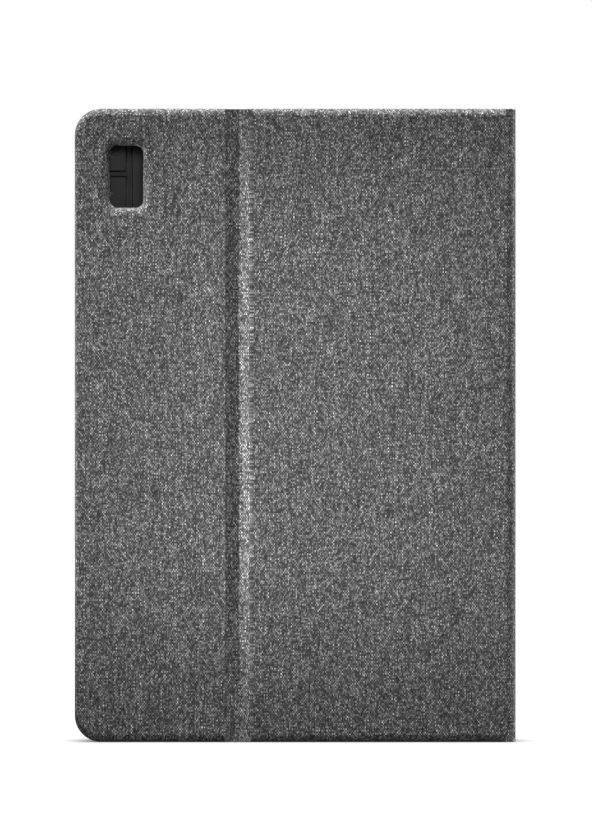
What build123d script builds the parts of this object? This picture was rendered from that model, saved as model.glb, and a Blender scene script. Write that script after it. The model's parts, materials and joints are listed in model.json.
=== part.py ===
"""Tablet keyboard case: a fabric folio with a moulded tablet tray and a slim keyboard, closed and upright.

Frame: +Z up the long side, +X from the free edge to the spine, +Y from the back cover to the front cover.
The origin is the middle of the bottom edge, so y = 0 is the middle of the closed thickness.
"""

import os

from build123d import *

# ---- driving dimensions, millimetres ----
WIDTH = 176.2  # free edge to spine
HEIGHT = 253.0
THICKNESS = 22.0  # closed, cover to cover
CORNER_R = 10.5  # free-edge corners; the spine corners are square

PANEL_T = 3.0
FABRIC_T = 0.6
LINING_T = 0.5
EDGE_ROLL = 2.2  # rounding of the fabric over the board's edges and into the camera window
GLUE_T = 0.3
CLOSURE_MAGNET_R = 4.0
CLOSURE_MAGNET_INSET = 7.5  # free edge to the magnets' centres
CLOSURE_MAGNET_STEP = 90.0
MAGNET_PLAY = 0.1

GROOVE_START = 60.2  # free edge to the fold groove
GROOVE_W = 10.4
FOLD_R = 4.0  # outside radius of the cover where it turns onto the spine
STRIP_T = 1.1  # a fold holds fabric and lining only
FOLD_GAP = 0.3

TABLET_W = 156.4
TABLET_H = 245.8
TABLET_T = 7.2
BAY_FROM_EDGE = 4.0
TRAY_WALL = 1.3
TRAY_SPINE_WALL = 3.0
TRAY_BACK_T = 1.2
TRAY_LIP_T = 1.0
TRAY_LIP_W = 1.6
TRAY_CORNER_R = 8.5
TRAY_EDGE_R = 0.8
TRAY_HOLE_PLAY = 0.4  # the tray's camera hole is this much larger all round
CUT_PAST = 0.5  # a cut through a wall runs this far past it
TRAY_GLUE_INSET = 4.0  # glue film drawn in from the tray's edges, and its corner radius
SPEAKER_W = 24.0
SPEAKER_T = 3.4
SPEAKER_R = 1.6
SPEAKER_SPOTS = (-48.0, 42.0)
PORT_NOTCH_W = 16.0
PORT_NOTCH_DEEP = 2.6
PORT_NOTCH_R = 1.5
BUTTON_WINDOW_Z = 186.0
BUTTON_WINDOW_H = 44.0
BUTTON_WINDOW_T = 5.2
BUTTON_WINDOW_R = 2.4
MAGNET_LONG = 26.0
MAGNET_DEEP = 1.8
TRAY_MAGNET_T = 5.0
DOCK_MAGNET_T = 2.0
TRAY_MAGNET_SINK = 0.2  # the bars sit this far below the tray's edge
BAR_STEPS = (-85.0, -30.0, 30.0, 85.0)  # magnet bars from the middle of the height

CAMERA_W = 13.2
CAMERA_H = 25.0
CAMERA_R = 3.0
CAMERA_FROM_EDGE = 20.7
CAMERA_FROM_TOP = 27.1

KEYBOARD_T = 5.4  # base to deck, without the caps
BASE_T = 1.4
DECK_T = 1.4
KEY_PITCH = 16.8
ROW_PITCH = 15.4
FUNCTION_ROW = 9.0
KEY_GAP = 2.2
KEY_RISE = 1.2  # the caps stand this far out of the deck, and press down flush with it
KEY_T = 2.0
CAP_PLAY = 0.35
DECK_MARGIN = 3.0
CAP_SLOT_R = 1.2
TRENCH_W = 11.0
TRENCH_D = 2.7
BLOCK_W = 18.0
KEYBOARD_FROM_EDGE = 3.1
KEYBOARD_END = 6.0  # keyboard to the cover's top and bottom edge
KEYBOARD_R = 7.0
KEYBOARD_GLUE_INSET = 2.0
SHELL_T = 1.2  # side walls of the keyboard's top case
SHELL_EDGE_R = 0.5
BLOCK_IN_R = 2.0
TRENCH_END = 2.0  # trench to the keyboard's ends
TRENCH_R = 1.0
CAP_R = 0.9
CAP_CHAMFER = 0.3
SHEET_INSET = 0.3  # plate, membrane and dome sheet to the top case's walls
SHEET_R = 4.6
PLATE_T = 0.4
MEMBRANE_T = 0.3
DOME_SHEET_T = 0.4
DOME_R = 2.5
DOME_TAPER = 18
DOME_GAP = 0.1  # dome to the cap above it
TAIL_Z = (56.0, 70.0)  # slot for the membrane's tail
TAIL_SLOT_T = 0.8
TAIL_REACH = 3.0  # membrane's tail past the trench's walls

SCREW_R = 0.8
SCREW_HEAD_R = 1.6
SCREW_HEAD_T = 0.7
SCREW_SOCKET_R = 0.7
SCREW_SINK = 0.1  # the heads lie this far below the base
SCREW_LENGTH = 2.4
SCREW_HOLE_R = 0.9
SCREW_SEAT_R = 1.7
SCREW_SEAT_T = 0.9
BOSS_R = 2.4
BOSS_HOLE_R = 0.82
BOSS_HOLE_DEEP = 1.8
SCREW_INSET = 4.0
SCREW_Z = (76.0, 106.0, 210.0, 241.0)

SWITCH_Z = 28.0
SWITCH_SLOT_W = 3.2
SWITCH_SLOT_H = 9.4
SWITCH_SLOT_R = 1.0
SWITCH_TRAVEL = 3.0
SWITCH_W = 2.6
SWITCH_H = 5.4
SWITCH_R = 0.8
SWITCH_SINK = 1.0  # slider's top half reaches this far into the deck
SWITCH_T = 1.5
SWITCH_FOOT_W = 2.4
SWITCH_FOOT_H = 4.4
SWITCH_FOOT_T = 1.2
SWITCH_FOOT_SINK = 0.6
BUTTON_Z = 42.0
BUTTON_R = 1.8
BUTTON_HOLE_R = 2.1
BUTTON_RISE = 0.3
BUTTON_SINK = 0.2
BUTTON_CHAMFER = 0.2
LIGHT_Z = (50.0, 55.0, 60.0)
LIGHT_R = 0.6
LIGHT_HOLE_R = 0.65
LIGHT_FOOT = 0.9  # the light pipes start this far above the base

BATTERY_Z = (112.0, 204.0)
BATTERY_T = 2.3
BATTERY_GAP = 0.1
BATTERY_INSET = 3.0  # clear of the docking magnets
BLOCK_GAP = 0.6  # battery and board to the outer wall
BATTERY_R = 1.5
BATTERY_EDGE_R = 0.6
BOARD_Z = (14.9, 70.0)
CIRCUIT_T = 0.8
CIRCUIT_INSET = 4.0
CHIP_T = 0.9
CHIP_SIDE = 5.0
CHIP_Z = (35.0, 53.0)
SOCKET_W = 4.0
SOCKET_H = 9.0
SOCKET_Z = 62.5
PORT_W = 8.3
PORT_T = 2.1
PORT_R = 0.85
PORT_WALL = 0.275
PORT_LENGTH = 7.0
PORT_BACK_T = 1.0
PORT_SINK = 0.2  # shell's mouth below the keyboard's end
PORT_TONGUE_W = 6.0
PORT_TONGUE_T = 0.5
PORT_TONGUE_LENGTH = 5.0
PORT_PLAY = 0.15

# ---- levels through the thickness, outer back face to outer front face ----
BACK_OUT = -THICKNESS / 2
BACK_IN = BACK_OUT + PANEL_T
TRAY_BACK = BACK_IN + GLUE_T
BAY_BACK = TRAY_BACK + TRAY_BACK_T
BAY_FRONT = BAY_BACK + TABLET_T
TRAY_FRONT = BAY_FRONT + TRAY_LIP_T
FRONT_OUT = THICKNESS / 2
FRONT_IN = FRONT_OUT - PANEL_T
BASE_BACK = FRONT_IN - GLUE_T
BASE_IN = BASE_BACK - BASE_T
DECK_TOP = BASE_BACK - KEYBOARD_T
DECK_IN = DECK_TOP + DECK_T
KEY_TOP = DECK_TOP - KEY_RISE
KEY_UNDER = KEY_TOP + KEY_T
PLATE_TOP = BASE_IN - PLATE_T
MEMBRANE_TOP = PLATE_TOP - MEMBRANE_T
DOME_SHEET_TOP = MEMBRANE_TOP - DOME_SHEET_T
BOARD_T = PANEL_T - FABRIC_T - LINING_T
BOARD_IN_BACK = BACK_OUT + FABRIC_T + BOARD_T
WINDOW_Y = (BAY_BACK + BAY_FRONT) / 2  # middle of the tablet's thickness
PORT_Y = (DECK_IN + BASE_IN) / 2

# ---- stations across the width ----
FREE_EDGE = -WIDTH / 2
SPINE_OUT = WIDTH / 2
SPINE_IN = SPINE_OUT - PANEL_T
COVER_END = SPINE_OUT - FOLD_R
GROOVE_LOW = FREE_EDGE + GROOVE_START
GROOVE_HIGH = GROOVE_LOW + GROOVE_W
SPINE_HALF = THICKNESS / 2 - FOLD_R
BAY_LOW = FREE_EDGE + BAY_FROM_EDGE
BAY_HIGH = BAY_LOW + TABLET_W
TRAY_LOW = BAY_LOW - TRAY_WALL
TRAY_HIGH = BAY_HIGH + TRAY_SPINE_WALL
CAMERA_X = FREE_EDGE + CAMERA_FROM_EDGE
CAMERA_Z = HEIGHT - CAMERA_FROM_TOP
KEYS_LOW = FREE_EDGE + KEYBOARD_FROM_EDGE
TRENCH_LOW = KEYS_LOW + 2 * DECK_MARGIN + 5 * ROW_PITCH + FUNCTION_ROW
TRENCH_HIGH = TRENCH_LOW + TRENCH_W
BLOCK_HIGH = TRENCH_HIGH + BLOCK_W
INNER_LOW = KEYS_LOW + SHELL_T
INNER_HIGH = TRENCH_LOW - SHELL_T
BLOCK_IN_LOW = TRENCH_HIGH + SHELL_T
BLOCK_IN_HIGH = BLOCK_HIGH - SHELL_T
CONTROL_X = TRENCH_HIGH + BLOCK_W / 2
CHIP_X = CONTROL_X + 3.6

# ---- stations up the height ----
MID_Z = HEIGHT / 2
TRAY_H = TABLET_H + 2 * TRAY_WALL
BAY_R = TRAY_CORNER_R - TRAY_WALL
BAR_SPOTS = [MID_Z + step for step in BAR_STEPS]
KEYS_END = KEYBOARD_END + SHELL_T + SHEET_INSET

# Rows of keys from the space bar's row to the function row, each from the user's left:
# node, width in key pitches, how many such keys stand side by side.
KEY_ROWS = [
    [
        ("control_key", 1, 1),
        ("fn_key", 1, 1),
        ("menu_key", 1, 1),
        ("left_alt_key", 1.25, 1),
        ("space_bar", 4.5, 1),
        ("right_alt_key", 1.25, 1),
        ("right_control_key", 1, 1),
        ("left_arrow_key", 1, 1),
        ("down_arrow_key", 1, 1),
        ("right_arrow_key", 1, 1),
    ],
    [
        ("left_shift_key", 2, 1),
        ("lower_letter_keys", 1, 10),
        ("up_arrow_key", 1, 1),
        ("right_shift_key", 1, 1),
    ],
    [("caps_lock_key", 1.5, 1), ("home_letter_keys", 1, 11), ("enter_key", 1.5, 1)],
    [("tab_key", 1.25, 1), ("upper_letter_keys", 1, 12), ("backslash_key", 0.75, 1)],
    [("number_keys", 1, 12), ("backspace_key", 2, 1)],
    [("escape_key", 1, 1), ("function_keys", 1, 12), ("lock_key", 1, 1)],
]
ROW_UNITS = 14


def level(y):
    """Plane facing the back cover at depth y; its local axes are +X and +Z."""
    return Plane.XZ.offset(-y)


def keys_by_node():
    """Centre x, centre z, size along x and size along z of every keycap, listed by node."""
    caps = {}
    x_low = KEYS_LOW + DECK_MARGIN
    for row in KEY_ROWS:
        pitch = FUNCTION_ROW if row[0][0] == "escape_key" else ROW_PITCH
        z_high = MID_Z + ROW_UNITS * KEY_PITCH / 2
        for node, units, count in row:
            for _ in range(count):
                size_z = units * KEY_PITCH
                cap = (x_low + pitch / 2, z_high - size_z / 2, pitch - KEY_GAP, size_z - KEY_GAP)
                caps.setdefault(node, []).append(cap)
                z_high -= size_z
        x_low += pitch
    return caps


def cover_outline(x_low, x_high, inset=0.0, rounded=False):
    """Outline of a cover panel drawn in by inset, with the free-edge corners rounded if asked."""
    with BuildSketch() as outline:
        with Locations(((x_low + x_high) / 2, MID_Z)):
            Rectangle(x_high - x_low - 2 * inset, HEIGHT - 2 * inset)
        if rounded:
            fillet(outline.vertices().group_by(Axis.X)[0], CORNER_R - inset)
    return outline.sketch


def slab(x_low, x_high, z_low, z_high, radius=0.0):
    """Rectangle in x and z between two stations each way, with an optional corner radius."""
    with BuildSketch() as outline:
        with Locations(((x_low + x_high) / 2, (z_low + z_high) / 2)):
            if radius:
                RectangleRounded(x_high - x_low, z_high - z_low, radius)
            else:
                Rectangle(x_high - x_low, z_high - z_low)
    return outline.sketch


def camera_hole(margin=0.0):
    """The camera window's outline, grown by margin."""
    with BuildSketch() as outline:
        with Locations((CAMERA_X, CAMERA_Z)):
            RectangleRounded(CAMERA_W + 2 * margin, CAMERA_H + 2 * margin, CAMERA_R + margin)
    return outline.sketch


def magnet_spots():
    """Places of the closure magnets beside the free edge."""
    steps = (-CLOSURE_MAGNET_STEP, 0, CLOSURE_MAGNET_STEP)
    return [(FREE_EDGE + CLOSURE_MAGNET_INSET, MID_Z + step) for step in steps]


def rolled_edges(edges, has_free_edge):
    """Edges of a cover panel's outer face that are rounded: all but those along a fold."""
    if has_free_edge:
        fold_x = edges.sort_by(Axis.X)[-1].center().X
        return edges.filter_by(lambda edge: edge.center().X < fold_x - FABRIC_T / 2)
    return edges.filter_by(Axis.X)


def keep(part, name):
    """Label a finished piece and write it to its own file."""
    part.label = name
    export_step(part, f"parts/{name}.step")


os.makedirs("parts", exist_ok=True)

# ---- back cover: fabric shells, boards and linings of its two panels ----
back_panels = [
    ("back_upper", FREE_EDGE, GROOVE_LOW, True),
    ("back_lower", GROOVE_HIGH, COVER_END, False),
]
for panel_name, x_low, x_high, has_free_edge in back_panels:
    pocket = cover_outline(x_low, x_high, FABRIC_T, has_free_edge)
    with BuildPart() as core:
        with BuildSketch(level(BACK_IN)):
            add(pocket)
            if has_free_edge:
                add(camera_hole(FABRIC_T), mode=Mode.SUBTRACT)
        extrude(amount=PANEL_T - FABRIC_T)
        core_edges = core.faces().sort_by(Axis.Y)[0].edges()
        fillet(rolled_edges(core_edges, has_free_edge), EDGE_ROLL - FABRIC_T)

    with BuildPart() as cover_fabric:
        with BuildSketch(level(BACK_IN)):
            add(cover_outline(x_low, x_high, rounded=has_free_edge))
            if has_free_edge:
                add(camera_hole(), mode=Mode.SUBTRACT)
        extrude(amount=PANEL_T)
        fabric_edges = cover_fabric.faces().sort_by(Axis.Y)[0].edges()
        fillet(rolled_edges(fabric_edges, has_free_edge), EDGE_ROLL)
        add(core.part, mode=Mode.SUBTRACT)
    keep(cover_fabric.part, f"{panel_name}_fabric")

    with BuildPart() as cover_board:
        add(core.part)
        split(bisect_by=Plane.XZ.offset(-BOARD_IN_BACK), keep=Keep.TOP)
        if has_free_edge:
            with BuildSketch(level(BOARD_IN_BACK)):
                with Locations(magnet_spots()):
                    Circle(CLOSURE_MAGNET_R + MAGNET_PLAY)
            extrude(amount=BOARD_T, mode=Mode.SUBTRACT)
    keep(cover_board.part, f"{panel_name}_board")

    with BuildPart() as cover_lining:
        with BuildSketch(level(BACK_IN)):
            add(pocket)
            if has_free_edge:
                add(camera_hole(FABRIC_T), mode=Mode.SUBTRACT)
        extrude(amount=LINING_T)
    keep(cover_lining.part, f"{panel_name}_lining")

with BuildPart() as back_closure_magnets:
    with BuildSketch(level(BOARD_IN_BACK)):
        with Locations(magnet_spots()):
            Circle(CLOSURE_MAGNET_R)
    extrude(amount=BOARD_T)
keep(back_closure_magnets.part, "back_closure_magnets")

# ---- front cover ----
front_pocket = cover_outline(FREE_EDGE, COVER_END, FABRIC_T, True)
with BuildPart() as front_core:
    with BuildSketch(level(FRONT_OUT - FABRIC_T)):
        add(front_pocket)
    extrude(amount=PANEL_T - FABRIC_T)
    core_edges = front_core.faces().sort_by(Axis.Y)[-1].edges()
    fillet(rolled_edges(core_edges, True), EDGE_ROLL - FABRIC_T)

with BuildPart() as front_cover_fabric:
    with BuildSketch(level(FRONT_OUT)):
        add(cover_outline(FREE_EDGE, COVER_END, rounded=True))
    extrude(amount=PANEL_T)
    fabric_edges = front_cover_fabric.faces().sort_by(Axis.Y)[-1].edges()
    fillet(rolled_edges(fabric_edges, True), EDGE_ROLL)
    add(front_core.part, mode=Mode.SUBTRACT)
keep(front_cover_fabric.part, "front_cover_fabric")

with BuildPart() as front_cover_board:
    add(front_core.part)
    split(bisect_by=Plane.XZ.offset(-FRONT_IN - LINING_T), keep=Keep.BOTTOM)
    with BuildSketch(level(FRONT_OUT - FABRIC_T)):
        with Locations(magnet_spots()):
            Circle(CLOSURE_MAGNET_R + MAGNET_PLAY)
    extrude(amount=BOARD_T, mode=Mode.SUBTRACT)
keep(front_cover_board.part, "front_cover_board")

with BuildPart() as front_closure_magnets:
    with BuildSketch(level(FRONT_OUT - FABRIC_T)):
        with Locations(magnet_spots()):
            Circle(CLOSURE_MAGNET_R)
    extrude(amount=BOARD_T)
keep(front_closure_magnets.part, "front_closure_magnets")

with BuildPart() as front_cover_lining:
    with BuildSketch(level(FRONT_IN + LINING_T)):
        add(front_pocket)
    extrude(amount=LINING_T)
keep(front_cover_lining.part, "front_cover_lining")

# ---- spine, between the two long folds ----
with BuildPart() as spine_fabric:
    with BuildSketch(Plane.XY):
        with Locations(((SPINE_IN + SPINE_OUT) / 2, 0)):
            Rectangle(PANEL_T, 2 * SPINE_HALF)
    extrude(amount=HEIGHT)
    with BuildSketch(Plane.XY.offset(FABRIC_T)):
        with Locations((SPINE_IN + (PANEL_T - FABRIC_T) / 2, 0)):
            Rectangle(PANEL_T - FABRIC_T, 2 * SPINE_HALF - 2 * FABRIC_T)
    extrude(amount=HEIGHT - 2 * FABRIC_T, mode=Mode.SUBTRACT)
keep(spine_fabric.part, "spine_fabric")

with BuildPart() as spine_board:
    with BuildSketch(Plane.XY.offset(FABRIC_T)):
        with Locations((SPINE_OUT - FABRIC_T - BOARD_T / 2, 0)):
            Rectangle(BOARD_T, 2 * SPINE_HALF - 2 * FABRIC_T)
    extrude(amount=HEIGHT - 2 * FABRIC_T)
keep(spine_board.part, "spine_board")

with BuildPart() as spine_lining:
    with BuildSketch(Plane.XY.offset(FABRIC_T)):
        with Locations((SPINE_IN + LINING_T / 2, 0)):
            Rectangle(LINING_T, 2 * SPINE_HALF - 2 * FABRIC_T)
    extrude(amount=HEIGHT - 2 * FABRIC_T)
keep(spine_lining.part, "spine_lining")

# ---- folds: fabric and lining without a board, turning onto the spine and along the groove ----
for strip_name, side in (("back_fold_strip", -1), ("front_fold_strip", 1)):
    centre_y = side * SPINE_HALF
    with BuildPart() as corner_strip:
        with BuildSketch(Plane.XY.offset(FOLD_GAP)):
            with Locations((COVER_END, centre_y)):
                Circle(FOLD_R)
                Circle(FOLD_R - STRIP_T, mode=Mode.SUBTRACT)
            with Locations((COVER_END + FOLD_GAP + FOLD_R / 2, centre_y + side * (FOLD_R / 2 + FOLD_GAP))):
                Rectangle(FOLD_R, FOLD_R, mode=Mode.INTERSECT)
        extrude(amount=HEIGHT - 2 * FOLD_GAP)
    keep(corner_strip.part, strip_name)

with BuildPart() as stand_fold_strip:
    with BuildSketch(level(BACK_IN)):
        add(slab(GROOVE_LOW + FOLD_GAP, GROOVE_HIGH - FOLD_GAP, FOLD_GAP, HEIGHT - FOLD_GAP))
    extrude(amount=STRIP_T)
keep(stand_fold_strip.part, "stand_fold_strip")

# ---- tablet tray, glued to the upper back panel only ----
with BuildPart() as tray_adhesive:
    with BuildSketch(level(TRAY_BACK)):
        inset = TRAY_GLUE_INSET
        add(slab(TRAY_LOW + inset, GROOVE_LOW - inset / 2, 2 * inset, HEIGHT - 2 * inset, inset))
        add(camera_hole(inset / 2), mode=Mode.SUBTRACT)
    extrude(amount=GLUE_T)
keep(tray_adhesive.part, "tray_adhesive")

with BuildPart() as tablet_tray:
    with BuildSketch(level(TRAY_FRONT)):
        add(slab(TRAY_LOW, TRAY_HIGH, MID_Z - TRAY_H / 2, MID_Z + TRAY_H / 2, TRAY_CORNER_R))
    extrude(amount=TRAY_FRONT - TRAY_BACK)
    end_faces = tablet_tray.faces().filter_by(Axis.Y)
    fillet(end_faces.edges(), TRAY_EDGE_R)
    with BuildSketch(level(BAY_FRONT)):
        add(slab(BAY_LOW, BAY_HIGH, MID_Z - TABLET_H / 2, MID_Z + TABLET_H / 2, BAY_R))
    extrude(amount=TABLET_T, mode=Mode.SUBTRACT)
    with BuildSketch(level(TRAY_FRONT)):
        lip = TRAY_LIP_W
        half = TABLET_H / 2 - lip
        add(slab(BAY_LOW + lip, BAY_HIGH - lip, MID_Z - half, MID_Z + half, BAY_R - lip))
    extrude(amount=TRAY_LIP_T, mode=Mode.SUBTRACT)
    with BuildSketch(level(BAY_BACK)):
        add(camera_hole(TRAY_HOLE_PLAY))
    extrude(amount=TRAY_BACK_T, mode=Mode.SUBTRACT)
    past_end_wall = MID_Z - TABLET_H / 2 + CUT_PAST
    for end_plane, inward in ((Plane.XY, 1), (Plane.XY.offset(HEIGHT), -1)):
        with BuildSketch(end_plane):
            with Locations(*[(x, WINDOW_Y) for x in SPEAKER_SPOTS]):
                RectangleRounded(SPEAKER_W, SPEAKER_T, SPEAKER_R)
        extrude(amount=inward * past_end_wall, mode=Mode.SUBTRACT)
    # the port notch is open to the front, so its plug also clears the lip
    notch_back = WINDOW_Y - PORT_NOTCH_DEEP
    notch_front = TRAY_FRONT + CUT_PAST
    with BuildSketch(Plane.XY):
        with Locations((0, (notch_back + notch_front) / 2)):
            Rectangle(PORT_NOTCH_W, notch_front - notch_back)
        port_corners = vertices().group_by(Axis.Y)[0]
        fillet(port_corners, PORT_NOTCH_R)
    extrude(amount=past_end_wall + TRAY_LIP_W, mode=Mode.SUBTRACT)
    with BuildSketch(Plane.YZ.offset(FREE_EDGE)):
        with Locations((WINDOW_Y, BUTTON_WINDOW_Z)):
            RectangleRounded(BUTTON_WINDOW_T, BUTTON_WINDOW_H, BUTTON_WINDOW_R)
    extrude(amount=BAY_FROM_EDGE + CUT_PAST, mode=Mode.SUBTRACT)
    with BuildSketch(Plane.YZ.offset(TRAY_HIGH)):
        with Locations(*[(WINDOW_Y, z) for z in BAR_SPOTS]):
            Rectangle(TRAY_MAGNET_T, MAGNET_LONG)
    extrude(amount=-MAGNET_DEEP, mode=Mode.SUBTRACT)
keep(tablet_tray.part, "tablet_tray")

with BuildPart() as tray_magnets:
    with BuildSketch(Plane.YZ.offset(TRAY_HIGH - TRAY_MAGNET_SINK)):
        with Locations(*[(WINDOW_Y, z) for z in BAR_SPOTS]):
            Rectangle(TRAY_MAGNET_T, MAGNET_LONG)
    extrude(amount=TRAY_MAGNET_SINK - MAGNET_DEEP)
keep(tray_magnets.part, "tray_magnets")

# ---- keyboard unit on the front cover ----
z_end = KEYBOARD_END
z_top = HEIGHT - KEYBOARD_END
caps_by_node = keys_by_node()
all_caps = [cap for caps in caps_by_node.values() for cap in caps]
screw_spots = [(BLOCK_HIGH - SCREW_INSET, z) for z in SCREW_Z]
light_spots = [(CONTROL_X, z) for z in LIGHT_Z]
wall_out = (KEYS_LOW, BLOCK_HIGH, z_end, z_top, KEYBOARD_R)
sheet_outline = (INNER_LOW + SHEET_INSET, INNER_HIGH - SHEET_INSET, KEYS_END, HEIGHT - KEYS_END, SHEET_R)

with BuildPart() as keyboard_adhesive:
    with BuildSketch(level(FRONT_IN)):
        inset = KEYBOARD_GLUE_INSET
        add(slab(KEYS_LOW + inset, BLOCK_HIGH - inset, z_end + inset, z_top - inset, KEYBOARD_R - inset))
    extrude(amount=GLUE_T)
keep(keyboard_adhesive.part, "keyboard_adhesive")

with BuildPart() as keyboard_base:
    with BuildSketch(level(BASE_BACK)):
        add(slab(*wall_out))
    extrude(amount=BASE_BACK - BASE_IN)
    with Locations(*[Plane((x, BASE_BACK, z), z_dir=(0, 1, 0)) for x, z in screw_spots]):
        CounterBoreHole(SCREW_HOLE_R, SCREW_SEAT_R, SCREW_SEAT_T)
keep(keyboard_base.part, "keyboard_base")

with BuildPart() as keyboard_top_case:
    with BuildSketch(level(BASE_IN)):
        add(slab(*wall_out))
    extrude(amount=BASE_IN - DECK_TOP)
    fillet(keyboard_top_case.faces().sort_by(Axis.Y)[0].edges(), SHELL_EDGE_R)
    with BuildSketch(level(BASE_IN)):
        add(slab(INNER_LOW, INNER_HIGH, z_end + SHELL_T, z_top - SHELL_T, SHEET_R + SHEET_INSET))
    extrude(amount=BASE_IN - DECK_IN, mode=Mode.SUBTRACT)
    with BuildSketch(level(BASE_IN)):
        add(slab(BLOCK_IN_LOW, BLOCK_IN_HIGH, z_end + SHELL_T, z_top - SHELL_T, BLOCK_IN_R))
        with Locations(*screw_spots):
            Circle(BOSS_R, mode=Mode.SUBTRACT)
    extrude(amount=BASE_IN - DECK_IN, mode=Mode.SUBTRACT)
    with BuildSketch(level(DECK_TOP + TRENCH_D)):
        add(slab(TRENCH_LOW, TRENCH_HIGH, z_end + TRENCH_END, z_top - TRENCH_END, TRENCH_R))
    extrude(amount=TRENCH_D, mode=Mode.SUBTRACT)
    with BuildSketch(level(BASE_IN)):
        add(slab(INNER_HIGH - CUT_PAST, BLOCK_IN_LOW + CUT_PAST, *TAIL_Z))
    extrude(amount=TAIL_SLOT_T, mode=Mode.SUBTRACT)
    with BuildSketch(level(BASE_IN)):
        with Locations(*screw_spots):
            Circle(BOSS_HOLE_R)
    extrude(amount=BOSS_HOLE_DEEP, mode=Mode.SUBTRACT)
    with BuildSketch(level(DECK_IN)):
        for x, z, size_x, size_z in all_caps:
            with Locations((x, z)):
                RectangleRounded(size_x + 2 * CAP_PLAY, size_z + 2 * CAP_PLAY, CAP_SLOT_R)
        with Locations((CONTROL_X, SWITCH_Z)):
            RectangleRounded(SWITCH_SLOT_W, SWITCH_SLOT_H, SWITCH_SLOT_R)
        with Locations((CONTROL_X, BUTTON_Z)):
            Circle(BUTTON_HOLE_R)
        with Locations(*light_spots):
            Circle(LIGHT_HOLE_R)
    extrude(amount=DECK_T, mode=Mode.SUBTRACT)
    with BuildSketch(Plane.XY.offset(z_end)):
        with Locations((CONTROL_X, PORT_Y)):
            RectangleRounded(PORT_W + 2 * PORT_PLAY, PORT_T + PORT_PLAY, PORT_R)
    extrude(amount=SHELL_T, mode=Mode.SUBTRACT)
keep(keyboard_top_case.part, "keyboard_top_case")

with BuildPart() as keyboard_screws:
    with BuildSketch(level(BASE_BACK - SCREW_SINK)):
        with Locations(*screw_spots):
            Circle(SCREW_HEAD_R)
            RegularPolygon(SCREW_SOCKET_R, 6, mode=Mode.SUBTRACT)
    extrude(amount=SCREW_HEAD_T)
    with BuildSketch(level(BASE_BACK - SCREW_SINK - SCREW_HEAD_T / 2)):
        with Locations(*screw_spots):
            Circle(SCREW_R)
    extrude(amount=SCREW_LENGTH)
keep(keyboard_screws.part, "keyboard_screws")

with BuildPart() as key_backplate:
    with BuildSketch(level(BASE_IN)):
        add(slab(*sheet_outline))
    extrude(amount=BASE_IN - PLATE_TOP)
keep(key_backplate.part, "key_backplate")

with BuildPart() as key_membrane:
    with BuildSketch(level(PLATE_TOP)):
        add(slab(*sheet_outline))
        add(slab(INNER_HIGH - TAIL_REACH, BLOCK_IN_LOW + TAIL_REACH, TAIL_Z[0] + 1, TAIL_Z[1] - 1))
    extrude(amount=PLATE_TOP - MEMBRANE_TOP)
keep(key_membrane.part, "key_membrane")

with BuildPart() as rubber_dome_sheet:
    with BuildSketch(level(MEMBRANE_TOP)):
        add(slab(*sheet_outline))
    extrude(amount=MEMBRANE_TOP - DOME_SHEET_TOP)
    with BuildSketch(level(DOME_SHEET_TOP)):
        for x, z, size_x, size_z in all_caps:
            with Locations((x, z)):
                Circle(DOME_R)
    extrude(amount=DOME_SHEET_TOP - KEY_UNDER - DOME_GAP, taper=DOME_TAPER)
keep(rubber_dome_sheet.part, "rubber_dome_sheet")

for node, caps in caps_by_node.items():
    with BuildPart() as keycaps:
        with BuildSketch(level(KEY_UNDER)):
            for x, z, size_x, size_z in caps:
                with Locations((x, z)):
                    RectangleRounded(size_x, size_z, CAP_R)
        extrude(amount=KEY_T)
        cap_tops = keycaps.faces().filter_by(Axis.Y).group_by(Axis.Y)[0]
        chamfer(cap_tops.edges(), CAP_CHAMFER)
    keep(keycaps.part, node)

with BuildPart() as docking_magnets:
    with BuildSketch(level(PLATE_TOP + MAGNET_PLAY)):
        with Locations(*[(BLOCK_IN_LOW + 2 * MAGNET_PLAY + MAGNET_DEEP / 2, z) for z in BAR_SPOTS]):
            Rectangle(MAGNET_DEEP, MAGNET_LONG)
    extrude(amount=DOCK_MAGNET_T)
keep(docking_magnets.part, "docking_magnets")

with BuildPart() as battery_pack:
    with BuildSketch(level(BASE_IN - BATTERY_GAP)):
        add(slab(BLOCK_IN_LOW + BATTERY_INSET, BLOCK_IN_HIGH - BLOCK_GAP, *BATTERY_Z, BATTERY_R))
    extrude(amount=BATTERY_T)
    fillet(battery_pack.edges().filter_by(Axis.Z), BATTERY_EDGE_R)
keep(battery_pack.part, "battery_pack")

with BuildPart() as controller_board:
    with BuildSketch(level(BASE_IN)):
        add(slab(BLOCK_IN_LOW + CIRCUIT_INSET, BLOCK_IN_HIGH - BLOCK_GAP, *BOARD_Z))
    extrude(amount=CIRCUIT_T)
    with BuildSketch(level(BASE_IN - CIRCUIT_T)):
        with Locations(*[(CHIP_X, z) for z in CHIP_Z]):
            Rectangle(CHIP_SIDE, CHIP_SIDE)
        with Locations((CHIP_X, SOCKET_Z)):
            Rectangle(SOCKET_W, SOCKET_H)
    extrude(amount=CHIP_T)
keep(controller_board.part, "controller_board")

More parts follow.
